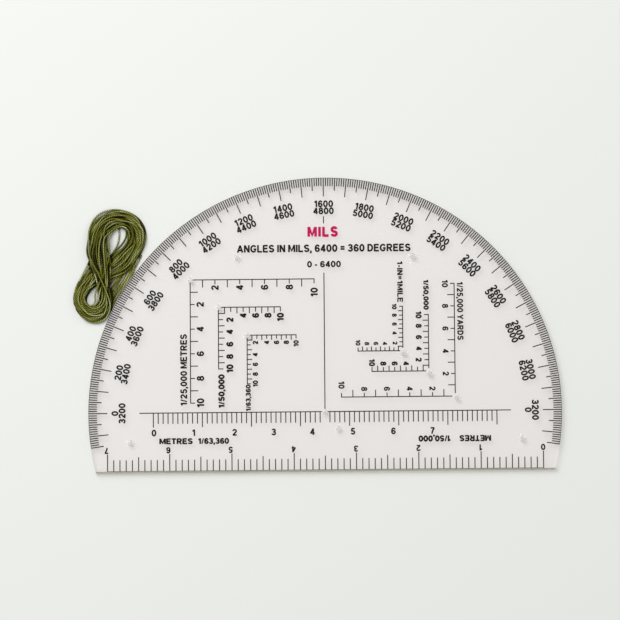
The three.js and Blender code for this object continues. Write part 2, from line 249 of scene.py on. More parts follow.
def hankControlPoints():
    # the route of the hank before it settles, as one list of points
    s = cordSettings
    random = np.random.RandomState(s["seed"])
    crown, foot = np.array(s["crown"]["centre"]), np.array(s["foot"]["centre"])
    up = (crown - foot) / np.linalg.norm(crown - foot)
    right = np.array((up[1], -up[0]))
    loops = len(s["order"])
    firstTop = loops - s["topLoops"]
    lanes = np.concatenate([
        random.permutation(np.linspace(0, 1, firstTop)),
        random.permutation(np.linspace(*s["topLanes"], s["topLoops"])),
    ])
    candidates = [loop for loop in range(firstTop, loops) if loop not in s["strays"]]
    outlier = max(candidates, key=lambda loop: lanes[loop])
    middles = sum(s["crown"]["crossed"]) / 2, sum(s["foot"]["crossed"]) / 2
    lean = math.degrees(math.asin(sum(middles) / np.linalg.norm(crown - foot)))
    plain = s["plainAngle"]
    points = []

    def lobePoint(name, degrees, lane, crossed, dented=True, flipped=False):
        lobe = s[name]
        inner, outer = lobe["crossed" if crossed else "plain"]
        if flipped:
            lane = 1 - lane
        radius = inner + (outer - inner) * lane
        shift = np.array(lobe["innerShift"]) * (1 - radius / lobe["crossed"][1])
        radius *= 1 + lobe["longShare"] * math.cos(2 * math.radians(degrees - lobe["longAngle"]))
        if dented:
            radius *= 1 - lobe["dent"] * math.exp(-((degrees - lobe["dentAngle"]) / s["dentSpread"]) ** 2)
        across = radius * math.cos(math.radians(degrees)) + shift[0]
        along = radius * math.sin(math.radians(degrees)) + shift[1]
        return np.array(lobe["centre"]) + across * right + along * up

    def addLeg(end, lane, kind, startZ, endZ):
        # a leg on to the other lobe: the bow swings it to one side, the swing to both in turn
        start = np.array(points[-1][:2])
        bow, swing = (np.interp(lane, (0, 1), s[kind + turn]) for turn in ("Bow", "Swing"))
        bow += s["bowScatter"] * random.uniform(-1, 1)
        if end[1] > start[1]:
            swing = -swing
        for share in s["legShares"]:
            aside = bow * math.sin(math.pi * share) - swing * math.sin(2 * math.pi * share)
            spot = start + (end - start) * share + right * aside
            points.append((*spot, startZ + (endZ - startZ) * share))

    def laneFrom(name, share):
        return np.interp(share, list(s[name]), list(s[name].values()))

    def isCrossed(loop):
        return s["order"][loop] == "x"

    def crownStart(loop):
        if loop in s["strays"]:
            return np.array(s["strays"][loop][0])
        crossed = isCrossed(loop)
        return lobePoint("crown", -lean if crossed else -plain, lanes[loop], crossed)

    # the loose end comes down along the rim, and goes round the foot before the first loop
    height = s["diameter"] / 2
    for degrees in np.linspace(s["entryAngle"], -180 - lean, s["footPoints"]):
        points.append((*lobePoint("foot", degrees, 1, True), height))
    addLeg(crownStart(0), lanes[0], "under", height, height)

    for loop in range(loops):
        crossed = isCrossed(loop)
        height = s["diameter"] / 2 + s["rise"] * loop
        wander = s["topWander"] if loop >= firstTop else s["laneWander"]
        count = s["driftPoints"]
        drift = np.cumsum(random.uniform(-0.5, 0.5, count))
        drift = (drift - np.linspace(drift[0], drift[-1], count)) * wander
        nextLane = lanes[(loop + 1) % loops]
        over = s["crossRise"] if crossed else 0.0

        def laneAt(share):
            lane = lanes[loop] + (nextLane - lanes[loop]) * share
            lane += np.interp(share * (count - 1), range(count), drift)
            return min(max(lane, 0.0), 1.0)

        # round the crown from its right side to its left, climbing in the last quarter
        route = s["strays"].get(loop, [])
        points += [(x, y, height) for x, y in route[1:]]
        start, end = (-lean, 180 + lean) if crossed else (-plain, 180 + plain)
        for step in range(s["crownPoints"]):
            share = step / (s["crownPoints"] - 1)
            if route and share < s["strayShare"]:
                continue
            lane = laneAt(share * s["crownEnd"])
            if route:
                strayShare, strayLane = s["strayLane"]
                lane = np.interp(share, (strayShare, 1.0), (strayLane, lane))
            away = loop == outlier and share > s["outlierFrom"]
            if loop == outlier:
                lane = max(lane, s["outlierLeast"])
            if away:
                lane = laneFrom("outlierLanes", share)
            lift = over * max(0.0, share * 4 - 3)
            spot = lobePoint("crown", start + (end - start) * share, lane, crossed, not away)
            points.append((*spot, height + lift))

        # down the left leg, round the foot, sinking in its first third, and up the right leg. Two crossed
        # loops in three keep their place in the bundle, so the crown's outer ones are the foot's inner ones.
        flipped = crossed and loop % 3 > 0 and loop != outlier
        start, end = (lean, -180 - lean) if crossed else (plain - 180, -plain)
        lane = laneAt(s["footStart"])
        footStart = lobePoint("foot", start, lane, crossed, flipped=flipped)
        addLeg(footStart, lane, "over" if crossed else "plain", height + over, height + over)
        for step in range(s["footPoints"]):
            share = step / (s["footPoints"] - 1)
            lane = laneAt(s["footStart"] + share * (s["footEnd"] - s["footStart"]))
            if loop == outlier:
                lane = laneFrom("outlierFoot", share)
            lift = over * max(0.0, 1 - share * 3)
            spot = lobePoint("foot", start + (end - start) * share, lane, crossed, flipped=flipped)
            points.append((*spot, height + lift))
        if loop + 1 < loops:
            addLeg(crownStart(loop + 1), nextLane, "under" if crossed else "rim", height, height + s["rise"])
    return points


def smoothLine(points, step, pieces=24):
    # a Catmull-Rom curve through the points, cut into equal steps
    p = np.array(points, float)
    p = np.vstack([2 * p[0] - p[1], p, 2 * p[-1] - p[-2]])
    a, b, c, d = p[:-3], p[1:-2], p[2:-1], p[3:]
    t = np.linspace(0, 1, pieces, endpoint=False)[None, :, None]
    a, b, c, d = (q[:, None, :] for q in (a, b, c, d))
    fine = 0.5 * (2 * b + (c - a) * t + (2 * a - 5 * b + 4 * c - d) * t ** 2
                  + (3 * b - a - 3 * c + d) * t ** 3)
    fine = np.vstack([fine.reshape(-1, 3), p[-2:-1]])
    along = np.concatenate([[0], np.cumsum(np.linalg.norm(np.diff(fine, axis=0), axis=1))])
    marks = np.linspace(0, along[-1], int(round(along[-1] / step)) + 1)
    return np.stack([np.interp(marks, along, fine[:, k]) for k in range(3)], axis=1)


# How the hank settles under its own weight. Shares are of the whole way there, taken in each round.
settling = {
    "sample": 0.6,  # between the points that are moved
    "leastBend": 2.0,  # radius that the bends are kept to
    "bendSteps": 4,  # along the cord, between the points that keep a bend open
    "bendShare": 0.25,
    "openingRounds": 60,  # before anything sinks
    "openingShare": 0.1,
    "rounds": 150,
    "sink": 0.02,
    "lastSink": 0.004,
    "lastFrom": 0.75,  # share of the rounds after which it sinks slowly
    "homeShare": 0.04,  # back to where the route put it
    "stiffShare": 0.3,
    "pushTurns": 2,  # in each round, of strands that overlap
    "pushShare": 1.3,
    "pairsEvery": 6,  # rounds between two searches for strands that lie close
    "pairsReach": 0.35,
    "pairsApart": 3.2,  # diameters along the cord, within which it doesn't push itself
    "rimGap": 0.02,
}


def nearPairs(p, reach, apart):
    tree = kdtree.KDTree(len(p))
    for index, point in enumerate(p):
        tree.insert(point, index)
    tree.balance()
    pairs = [
        (i, j) for i, point in enumerate(p) for _, j, _ in tree.find_range(point, reach) if j >= i + apart
    ]
    return np.array(pairs, int).reshape(-1, 2).T


def openBends(p):
    # points a few steps apart along the cord move apart where it bends too tightly between them
    s = settling
    steps = s["bendSteps"]
    leastChord = 2 * s["leastBend"] * math.sin(steps * s["sample"] / s["leastBend"] / 2)
    gap = p[steps:] - p[:-steps]
    length = np.linalg.norm(gap, axis=1)
    push = gap * (np.maximum(leastChord - length, 0) / length * s["bendShare"])[:, None]
    p[:-steps] -= push
    p[steps:] += push


def settleCord(line):
    # lets the strands push apart, sink and rest on each other and on the table
    s = settling
    width = cordSettings["diameter"]
    p = line.copy()
    for _ in range(s["openingRounds"]):
        openBends(p)
        p[1:-1] += s["openingShare"] * ((p[:-2] + p[2:]) / 2 - p[1:-1])
    home = p[:, :2].copy()
    flat = p * (1, 1, 0)
    rest = np.linalg.norm(np.diff(p, axis=0), axis=1)
    apart = int(math.ceil(s["pairsApart"] * width / s["sample"]))
    for turn in range(s["rounds"]):
        if turn % s["pairsEvery"] == 0:
            first, second = nearPairs(p, width + s["pairsReach"], apart)
        p[:, 2] -= s["sink"] if turn < s["rounds"] * s["lastFrom"] else s["lastSink"]
        p[:, :2] += s["homeShare"] * (home - p[:, :2])
        moved = p - flat
        p[1:-1] += s["stiffShare"] * ((moved[:-2] + moved[2:]) / 2 - moved[1:-1])
        # each step along the cord keeps its length
        for odd in (0, 1):
            a, b = np.arange(odd, len(p) - 1, 2), np.arange(odd + 1, len(p), 2)
            gap = p[b] - p[a]
            length = np.linalg.norm(gap, axis=1)
            push = gap * ((length - rest[a]) / length / 2)[:, None]
            p[a] += push
            p[b] -= push
        openBends(p)
        for _ in range(s["pushTurns"]):
            gap = p[first] - p[second]
            length = np.maximum(np.linalg.norm(gap, axis=1), 1e-6)
            close = length < width
            a, b = first[close], second[close]
            push = gap[close] * ((width - length[close]) / length[close] / 2)[:, None]
            count = np.bincount(a, minlength=len(p)) + np.bincount(b, minlength=len(p))
            for k in range(3):
                shift = np.bincount(a, push[:, k], len(p)) - np.bincount(b, push[:, k], len(p))
                p[:, k] += s["pushShare"] * shift / np.maximum(count, 1)
        # the plate's rim holds the cord out, and the table holds it up
        radius = np.linalg.norm(p[:, :2], axis=1)
        least = arcRadius + width / 2 + s["rimGap"]
        inside = radius < least
        p[inside, :2] *= (least / radius[inside])[:, None]
        p[:, 2] = np.maximum(p[:, 2], width / 2)
    return p


def depthBelowTop(line, reach):
    # how far each point lies below the highest strand near it
    tree = kdtree.KDTree(len(line))
    for index, (x, y, z) in enumerate(line):
        tree.insert((x, y, 0), index)
    tree.balance()
    depth = np.zeros(len(line))
    for index in range(0, len(line), 2):
        x, y, z = line[index]
        near = [other for _, other, _ in tree.find_range((x, y, 0), reach)]
        depth[index:index + 2] = line[near, 2].max() - z
    return depth


def tubeMesh(name, line, radius, sides):
    # a round tube with u along it in millimetres and v once around it
    tangent = np.gradient(line, axis=0)
    tangent /= np.linalg.norm(tangent, axis=1)[:, None]
    side = np.cross(tangent, (0, 0, 1.0))
    side /= np.linalg.norm(side, axis=1)[:, None]
    top = np.cross(side, tangent)
    along = np.concatenate([[0], np.cumsum(np.linalg.norm(np.diff(line, axis=0), axis=1))])
    corner = 2 * np.pi * np.arange(sides) / sides
    ring = line[:, None, :] + radius * (
        np.cos(corner)[None, :, None] * side[:, None, :] + np.sin(corner)[None, :, None] * top[:, None, :]
    )
    count = len(line)
    i, k = np.meshgrid(np.arange(count - 1), np.arange(sides), indexing="ij")
    a, b = (i * sides + k).ravel(), (i * sides + (k + 1) % sides).ravel()
    quads = np.stack([a, a + sides, b + sides, b], axis=1)
    faces = quads.tolist()
    faces.append(list(range(sides)))
    faces.append(list(reversed(range((count - 1) * sides, count * sides))))
    mesh = bpy.data.meshes.new(name)
    mesh.from_pydata((ring.reshape(-1, 3) * mm).tolist(), [], faces)
    u = np.concatenate([along[quads // sides].ravel(), np.repeat([0.0, along[-1]], sides)])
    v = np.stack([k, k, k + 1, k + 1], axis=-1).reshape(-1) / sides
    v = np.concatenate([v, np.tile(np.arange(sides) / sides, 2)])
    uv = mesh.uv_layers.new(name="cord_uv")
    uv.data.foreach_set("uv", np.stack([u, v], axis=1).ravel())
    mesh.polygons.foreach_set("use_smooth", [True] * len(mesh.polygons))
    return mesh


def makeCord(material):
    s = cordSettings
    joined = [(x, y, s["diameter"] / 2) for x, y in tailRoute] + hankControlPoints()
    line = settleCord(smoothLine(joined, settling["sample"]))
    line = smoothLine(line[::2], s["finalStep"])
    line[:, 2] = np.maximum(line[:, 2], s["diameter"] / 2)
    line[:, 1] += arcCentreY
    mesh = tubeMesh("cord", line, s["diameter"] / 2, s["sides"])
    # each point's depth below the top strands, which the material turns into painted shade
    depth = mesh.attributes.new("cord_depth", "FLOAT", "POINT")
    depth.data.foreach_set("value", np.repeat(depthBelowTop(line, s["depthReach"]), s["sides"]))
    cord = newPiece("cord", mesh)
    finishPiece(cord, "cord", "cord", material)
    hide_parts("cord_hank", "cord_tail")


# Strengths multiply the cord's colour: the dye's own, and those of the painted shade and painted light
cordFinish = {
    "plies": 3,
    "twist": 2.4,  # cord that one turn of the plies takes
    # painted shade in the grooves between the plies
    "grooveShadeColour": "#2d2f00",
    "grooveCosine": 0.4,  # of the angle around a ply, at which its groove has ended
    "plyHeight": 0.05,
    "fibreColours": ("#6c6e00", "#b2b534"),
    "fibresAlong": 2.0,  # noise cells in a millimetre along the cord
    "fibresAround": 16.0,  # and once around it
    "dyePerMm": 0.035,
    "dyeStrengths": (0.45, 1.45),
    # the colour's strength on the deepest strands, as painted shade
    "deepShadeStrength": 0.08,
    # painted light and shade round the cord
    "topLightStrengths": (0.05, 1.3),  # on the sides of the cord and on top
    # colour of the painted highlight
    "highlightColour": "#acaf98",
    "highlightStrengths": (0.7, 1.6),  # between which the painted highlight comes to show
    "highlightShare": 0.7,
}


def waxedCord():
    # Waxed nylon cord, twisted from three plies: olive, with painted shade between the plies and on deep
    # strands, painted light on top, and a soft shine
    s = cordFinish
    material, tree = newMaterial("waxed_nylon_cord")
    spot = addNode(tree, "ShaderNodeUVMap", uv_map="cord_uv")
    parts = addNode(tree, "ShaderNodeSeparateXYZ", {"Vector": spot})
    along, around = parts.outputs["X"], parts.outputs["Y"]
    # the plies wind round the cord; the grooves where they meet are darkened as painted shade
    turns = addNode(tree, "ShaderNodeMath", {0: along, 1: 1 / s["twist"]}, operation="MULTIPLY")
    wound = addNode(tree, "ShaderNodeMath", {0: around, 1: turns}, operation="SUBTRACT")
    phase = addNode(tree, "ShaderNodeMath", {0: wound, 1: s["plies"] * 2 * math.pi}, operation="MULTIPLY")
    ply = addNode(tree, "ShaderNodeMath", {0: phase}, operation="COSINE")
    crest = addNode(tree, "ShaderNodeMapRange", {"Value": ply, "From Min": -1, "From Max": s["grooveCosine"]})
    # fine fibres run along it
    stretch = s["fibresAround"] / s["fibresAlong"]
    drawn = addNode(tree, "ShaderNodeMapping", {"Vector": spot, "Scale": (1.0, stretch, 1.0)})
    fibres = addNode(
        tree, "ShaderNodeTexNoise",
        {"Vector": drawn, "Scale": s["fibresAlong"], "Detail": 4.0, "Roughness": 0.6},
    )
    dark, light = s["fibreColours"]
    fibreColour = addNode(tree, "ShaderNodeValToRGB", {"Fac": fibres}, ramp=((0.3, dark), (0.7, light)))
    # the dye is lighter and darker from one stretch of cord to the next
    dye = addNode(
        tree, "ShaderNodeTexNoise", {"W": along, "Scale": s["dyePerMm"], "Detail": 1.0}, noise_dimensions="1D"
    )
    least, most = s["dyeStrengths"]
    tone = addNode(
        tree, "ShaderNodeMapRange",
        {"Value": dye, "From Min": 0.3, "From Max": 0.7, "To Min": least, "To Max": most},
    )
    # painted shade: strands deep in the hank are darkened by how far they lie below the top, which keeps the
    # ones on top apart to the eye
    deep = addNode(tree, "ShaderNodeAttribute", attribute_name="cord_depth")
    shadow = addNode(
        tree, "ShaderNodeMapRange", {"Value": deep.outputs["Fac"], "To Min": 1.0, "To Max": s["deepShadeStrength"]}
    )
    # v runs once round the cord from its side, so its sine is 1 on top: painted light on top and painted
    # shade on the sides and underneath
    angle = addNode(tree, "ShaderNodeMath", {0: around, 1: 2 * math.pi}, operation="MULTIPLY")
    upward = addNode(tree, "ShaderNodeMath", {0: angle}, operation="SINE")
    least, most = s["topLightStrengths"]
    paintedTopLight = addNode(tree, "ShaderNodeMapRange", {"Value": upward, "To Min": least, "To Max": most})
    # the dye's tone times the painted shade of deep strands and the painted light on top
    both = addNode(tree, "ShaderNodeMath", {0: tone, 1: shadow}, operation="MULTIPLY")
    strength = addNode(tree, "ShaderNodeMath", {0: both, 1: paintedTopLight}, operation="MULTIPLY")
    # painted highlight: where the painted light is strongest, the colour also goes towards a pale grey
    least, most = s["highlightStrengths"]
    paintedHighlight = addNode(
        tree, "ShaderNodeMapRange",
        {"Value": strength, "From Min": least, "From Max": most, "To Max": s["highlightShare"]},
    )
    plyColour = addNode(
        tree, "ShaderNodeMix",
        {"Factor": paintedHighlight, "A": fibreColour, "B": linear(s["highlightColour"])}, data_type="RGBA",
    )
    colour = addNode(
        tree, "ShaderNodeMix",
        {"Factor": crest, "A": linear(s["grooveShadeColour"]), "B": plyColour.outputs["Result"]}, data_type="RGBA",
    )
    dyedWithPaintedLight = addNode(
        tree, "ShaderNodeVectorMath", {0: colour.outputs["Result"], "Scale": strength}, operation="SCALE"
    )
    bump = addNode(
        tree, "ShaderNodeBump", {"Height": crest, "Strength": 0.6, "Distance": s["plyHeight"] * mm}
    )
    shader = addNode(
        tree, "ShaderNodeBsdfPrincipled",
        {"Base Color": dyedWithPaintedLight, "Normal": bump, "Roughness": 0.4, "Specular IOR Level": 0.15},
    )
    addNode(tree, "ShaderNodeOutputMaterial", {"Surface": shader})
    return material


makeCord(waxedCord())


# Table, light and world
studio = {
    "table": "#f0f1ed",
    "tableSize": 3000,
    "tableDrop": 0.1,
    "world": "#f4f5f4",
    "worldStrength": 0.62,
    "keyPlace": (-480, 640, 820),
    "keySize": 800,
    "keyPower": 8.65,  # watts
}


def makeStudio():
    s = studio
    deselectAll()
    bpy.ops.mesh.primitive_plane_add(size=s["tableSize"] * mm, location=(0, 0, -s["tableDrop"] * mm))
    table = bpy.context.object
    table.name = "table"
    # Matt card, pale and nearly without a shine, which keeps the object's soft shadow
    material, tree = newMaterial("pale_matt_card")
    shader = addNode(
        tree, "ShaderNodeBsdfPrincipled",
        {"Base Color": linear(s["table"]), "Roughness": 0.9, "Specular IOR Level": 0.1},
    )
    addNode(tree, "ShaderNodeOutputMaterial", {"Surface": shader})
    table.data.materials.append(material)

    world = bpy.data.worlds.new("pale_room")
    bpy.context.scene.world = world
    world.use_nodes = True
    tree = world.node_tree
    tree.nodes.clear()
    paths = addNode(tree, "ShaderNodeLightPath")
    seen = addNode(
        tree, "ShaderNodeMath",
        {0: paths.outputs["Is Camera Ray"], 1: paths.outputs["Is Transmission Ray"]}, operation="MAXIMUM",
    )
    light = addNode(
        tree, "ShaderNodeBackground", {"Color": linear(s["world"]), "Strength": s["worldStrength"]}
    )
    backdrop = addNode(tree, "ShaderNodeBackground", {"Color": linear(s["table"]), "Strength": 1.0})
    mix = addNode(tree, "ShaderNodeMixShader", {0: seen, 1: light, 2: backdrop})
    addNode(tree, "ShaderNodeOutputWorld", {"Surface": mix})

    spot = Vector(s["keyPlace"]) * mm
    towardsPart = (-spot).to_track_quat("-Z", "Y").to_euler()
    bpy.ops.object.light_add(type="AREA", location=spot, rotation=towardsPart)
    key = bpy.context.object
    key.name = "window"
    key.data.size = s["keySize"] * mm
    key.data.energy = s["keyPower"]


makeStudio()
bpy.context.scene.view_settings.view_transform = "Standard"
print("table and light ready")


# Plate: clear sheet, cut to a segment of a circle and drilled
plateSettings = {
    "rimSteps": 720,
    "edgeRound": 0.08,
    "edgeSegments": 2,
    "edgeAngle": 30,
    "smoothAngle": 20,
    "bevelWidth": 0.5,
    "bevelDepth": 0.7,
    "holeDiameter": 1.5,
    "holeSides": 40,
    "drillThicknesses": 3,  # length of the drills that cut the holes, over the plate's thickness
    "levelCosine": 0.95,  # a face less level than this is a cut one
    # places of the holes from the arc's centre
    "holes": [
        (0, 0), (-62.71, -9.45), (4.19, -5.33), (63.25, -9.07), (-28.19, 50.52), (28.65, 50.29),
        (-43.14, 43.04), (-34.04, 34.2), (-24.91, 25.04), (42.31, 4.27), (33.82, 12.05), (25.38, 18.76),
    ],
}


def bisectPlate(point, normal):
    bpy.ops.mesh.select_all(action="SELECT")
    bpy.ops.mesh.bisect(plane_co=point, plane_no=normal, use_fill=True, clear_outer=True)


def makeDrills():
    # one cutter for all the holes
    s = plateSettings
    drills = []
    for x, y in s["holes"]:
        deselectAll()
        bpy.ops.mesh.primitive_cylinder_add(
            vertices=s["holeSides"], radius=s["holeDiameter"] / 2 * mm,
            depth=s["drillThicknesses"] * plateTop * mm, location=place(x, y, plateTop / 2),
        )
        drills.append(bpy.context.object)
    deselectAll()
    for drill in drills:
        drill.select_set(True)
    bpy.context.view_layer.objects.active = drills[0]
    bpy.ops.object.join()
    return bpy.context.object


def makePlate(sheet, sawnEdge, drilledBore, cutRim):
    s = plateSettings
    deselectAll()
    bpy.ops.mesh.primitive_cylinder_add(
        vertices=s["rimSteps"], radius=arcRadius * mm, depth=plateTop * mm,
        location=place(0, 0, plateTop / 2),
    )
    plate = bpy.context.object
    bakePlace(plate)
    bpy.ops.object.mode_set(mode="EDIT")
    bisectPlate((0, chordY * mm, 0), (0, -1, 0))
    bisectPlate((0, (chordY + s["bevelWidth"]) * mm, plateTop * mm), (0, -s["bevelDepth"], s["bevelWidth"]))
    bpy.ops.mesh.select_all(action="SELECT")
    bpy.ops.mesh.normals_make_consistent(inside=False)
    bpy.ops.object.mode_set(mode="OBJECT")

    cutter = makeDrills()
    makeActive(plate)
    cut = plate.modifiers.new("drilled", "BOOLEAN")
    cut.operation = "DIFFERENCE"
    cut.solver = "EXACT"
    cut.object = cutter
    bpy.ops.object.modifier_apply(modifier=cut.name)
    bpy.data.objects.remove(cutter)
    makeActive(plate)
    soften = plate.modifiers.new("soft_edges", "BEVEL")
    soften.width = s["edgeRound"] * mm
    soften.segments = s["edgeSegments"]
    soften.limit_method = "ANGLE"
    soften.angle_limit = math.radians(s["edgeAngle"])
    bpy.ops.object.modifier_apply(modifier=soften.name)
    bpy.ops.object.shade_smooth_by_angle(angle=math.radians(s["smoothAngle"]))

    finishPiece(plate, "plate_sheet", "clear_plastic", sheet, sawnEdge, drilledBore, cutRim)
    # the cut faces get their own look: 1 the ruling edge, 2 the holes, 3 the arc's rim
    for face in plate.data.polygons:
        if abs(face.normal.z) >= s["levelCosine"]:
            continue
        x, y = face.center.x / mm, face.center.y / mm - arcCentreY
        if y + arcCentreY < chordY + s["bevelWidth"] + s["edgeRound"]:
            face.material_index = 1
        else:
            face.material_index = 2 if math.hypot(x, y) < arcRadius - s["holeDiameter"] else 3
    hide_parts("plate")
    print("plate cut,", len(plate.data.polygons), "faces")


def passLight(tree, shader, amount, tint="#ffffff"):
    # this amount of the light goes through to other surfaces, and the camera sees the shader alone
    paths = addNode(tree, "ShaderNodeLightPath")
    carried = addNode(
        tree, "ShaderNodeMath",
        {0: paths.outputs["Is Shadow Ray"], 1: paths.outputs["Is Diffuse Ray"]}, operation="MAXIMUM",
    )
    share = addNode(tree, "ShaderNodeMath", {0: carried, 1: amount}, operation="MULTIPLY")
    passing = addNode(tree, "ShaderNodeBsdfTransparent", {"Color": linear(tint)})
    mix = addNode(tree, "ShaderNodeMixShader", {0: share, 1: shader, 2: passing})
    addNode(tree, "ShaderNodeOutputMaterial", {"Surface": mix})


# The plate's acrylic, and the look of its cut faces in the order that makePlate takes them. passes is the
# share of the light that goes through them to the table.
acrylic = {
    "ior": 1.49,
    "sheetColour": "#fffbfd",
    "sheetTint": "#fefdfd",
    "marksPerMm": 4,  # of the saw and the drill
    "markDepth": 0.02,
}
cutFaces = {
    "sawn_acrylic_edge": {"colour": "#aba595", "clearness": 0.45, "passes": 0.15},
    "drilled_acrylic_bore": {"colour": "#efe6e1", "clearness": 0.85, "passes": 0.3},
    "cut_acrylic_rim": {"colour": "#dddcd6", "clearness": 0.35, "passes": 0.6},
}


def clearSheet():
    # Clear acrylic sheet, polished, a little grey and pink through its laminated print film
    s = acrylic
    material, tree = newMaterial("clear_acrylic_sheet")
    sheet = addNode(tree, "ShaderNodeBsdfPrincipled", {
        "Base Color": linear(s["sheetColour"]),
        "Roughness": 0.02,
        "IOR": s["ior"],
        "Transmission Weight": 1.0,
        "Specular IOR Level": 0.35,
    })
    passLight(tree, sheet, 1.0, s["sheetTint"])
    return material


def cutPlastic(name, colour, clearness, passes):
    # Sawn or drilled acrylic: matt, greyish, and stops part of the light
    s = acrylic
    material, tree = newMaterial(name)
    spot = addNode(tree, "ShaderNodeTexCoord")
    marks = addNode(
        tree, "ShaderNodeTexNoise",
        {"Vector": spot.outputs["Object"], "Scale": s["marksPerMm"] / mm, "Detail": 3.0},
    )
    bump = addNode(
        tree, "ShaderNodeBump", {"Height": marks, "Strength": 0.4, "Distance": s["markDepth"] * mm}
    )
    matt = addNode(tree, "ShaderNodeBsdfPrincipled", {
        "Base Color": linear(colour),
        "Normal": bump,
        "Roughness": 0.45,
        "IOR": s["ior"],
        "Transmission Weight": clearness,
    })
    passLight(tree, matt, passes)
    return material


makePlate(clearSheet(), *[cutPlastic(name, **look) for name, look in cutFaces.items()])


# Printing: the CAD lines keep their shape and get ink, and the numbers and words are added here
grainsPerMm = 6
inks = {
    "dense_black_screen_ink": {"colours": ("#0b0a0b", "#171617"), "passes": 0.6},
    "black_screen_ink": {"colours": ("#0b0a0b", "#171617"), "passes": 0.85},
    "crimson_screen_ink": {"colours": ("#be004f", "#c80659"), "passes": 0.85},
}


def screenInk(name, colours, passes):
    # Screen-printed ink: a thin, slightly uneven film with a low shine. It lets part of the light through,
    # so its shadow on the table is faint.
    material, tree = newMaterial(name)
    spot = addNode(tree, "ShaderNodeTexCoord")
    grain = addNode(
        tree, "ShaderNodeTexNoise",
        {"Vector": spot.outputs["Object"], "Scale": grainsPerMm / mm, "Detail": 3.0},
    )
    dense, thin = colours
    tone = addNode(tree, "ShaderNodeValToRGB", {"Fac": grain}, ramp=((0.35, dense), (0.75, thin)))
    film = addNode(
        tree, "ShaderNodeBsdfPrincipled", {"Base Color": tone, "Roughness": 0.55, "Specular IOR Level": 0.2}
    )
    passLight(tree, film, passes)
    return material


ringInk, blackInk, crimsonInk = [screenInk(name, **look) for name, look in inks.items()]
for nodeName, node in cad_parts.items():
    if nodeName not in ("plate", "cord_hank", "cord_tail"):
        node.material_slots[0].material = ringInk if nodeName == "mil_ring" else blackInk


# Letters and numbers of the print, one unit tall: each has its width and its strokes. A stroke is a chain
# of points and of arcs, an arc being its middle, its two radii and the angles that it runs between.
letterStroke = 0.24
boldStroke = 0.285
letterGap = 0.11
unitGap = 0.22
wordGap = 0.3
letterWidth = 1.02  # over the drawn one
slashShare = 0.75  # of the stroke, for the thinner slash
arcStep = 15
unionStep = 0.001  # by which a letter's strokes differ in height while they are joined
low, high = 0.088, 0.912  # middles of the level strokes at the bottom and the top
stem = [(0.1, 0), (0.1, 1)]
letters = {
    "0": (0.66, [[(0.33, 0.5, 0.24, 0.41, 0, 360)]]),
    "1": (0.5, [[(0.37, 0), (0.37, 1)], [(0.08, 0.72), (0.22, 0.79), (0.33, 0.93)]]),
    "2": (0.66, [
        [(0.33, 0.68, 0.23, 0.23, 175, -30), (0.3, 0.33), (0.12, 0.13)],
        [(0.03, low), (0.63, low)],
    ]),
    "3": (0.66, [
        [(0.32, 0.71, 0.21, 0.2, 165, -90), (0.22, 0.51)],
        [(0.24, 0.51), (0.32, 0.3, 0.24, 0.21, 90, -170)],
    ]),
    "4": (0.68, [[(0.47, 0), (0.47, 1)], [(0.45, 0.93), (0.09, 0.3)], [(0.02, 0.28), (0.67, 0.28)]]),
    "5": (0.66, [
        [(0.6, high), (0.17, high)],
        [(0.19, 0.95), (0.13, 0.45)],
        [(0.33, 0.325, 0.23, 0.235, 135, -165)],
    ]),
    "6": (0.66, [[(0.34, 0.31, 0.225, 0.22, 0, 360)], [(0.35, 0.5, 0.25, 0.41, 195, 30)]]),
    "7": (0.64, [[(0.03, high), (0.6, high)], [(0.55, 0.87), (0.36, 0.55), (0.26, 0.25), (0.23, 0)]]),
    "8": (0.66, [[(0.33, 0.72, 0.195, 0.19, 0, 360)], [(0.33, 0.305, 0.235, 0.218, 0, 360)]]),
    "9": (0.66, [[(0.32, 0.69, 0.225, 0.22, 0, 360)], [(0.31, 0.5, 0.25, 0.41, 15, -150)]]),
    "A": (0.82, [[(0.09, 0), (0.41, 0.97)], [(0.73, 0), (0.41, 0.97)], [(0.2, 0.3), (0.62, 0.3)]]),
    "D": (0.74, [stem, [(0.1, high), (0.32, high), (0.32, 0.5, 0.32, 0.412, 90, -90), (0.1, low)]]),
    "E": (0.68, [stem, [(0.1, high), (0.66, high)], [(0.1, 0.52), (0.6, 0.52)], [(0.1, low), (0.68, low)]]),
    "G": (0.8, [[(0.42, 0.5, 0.325, 0.41, 35, 325), (0.7, 0.2), (0.7, 0.44)], [(0.42, 0.44), (0.78, 0.44)]]),
    "I": (0.2, [stem]),
    "L": (0.64, [stem, [(0.1, low), (0.64, low)]]),
    "M": (0.92, [stem, [(0.82, 0), (0.82, 1)], [(0.13, 0.95), (0.46, 0.16), (0.79, 0.95)]]),
    "N": (0.74, [stem, [(0.64, 0), (0.64, 1)], [(0.14, 0.93), (0.6, 0.07)]]),
    "R": (0.76, [
        stem,
        [(0.1, high), (0.42, high), (0.42, 0.69, 0.205, 0.222, 90, -90), (0.1, 0.468)],
        [(0.36, 0.45), (0.66, 0)],
    ]),
    "S": (0.72, [[(0.36, 0.71, 0.24, 0.2, 10, 250), (0.44, 0.47), (0.36, 0.29, 0.255, 0.2, 60, -170)]]),
    "T": (0.7, [[(0, high), (0.7, high)], [(0.35, 0), (0.35, 0.95)]]),
    "Y": (0.76, [[(0.07, 1), (0.38, 0.42)], [(0.69, 1), (0.38, 0.42)], [(0.38, 0.5), (0.38, 0)]]),
    "/": (0.34, [[(0.05, 0), (0.29, 1)]]),
    ",": (0.2, [[(0.1, 0.19), (0.1, 0), (0.05, -0.17)]]),
    "-": (0.4, [[(0.03, 0.36), (0.37, 0.36)]]),
    "=": (0.6, [[(0.03, 0.36), (0.57, 0.36)], [(0.03, 0.66), (0.57, 0.66)]]),
}


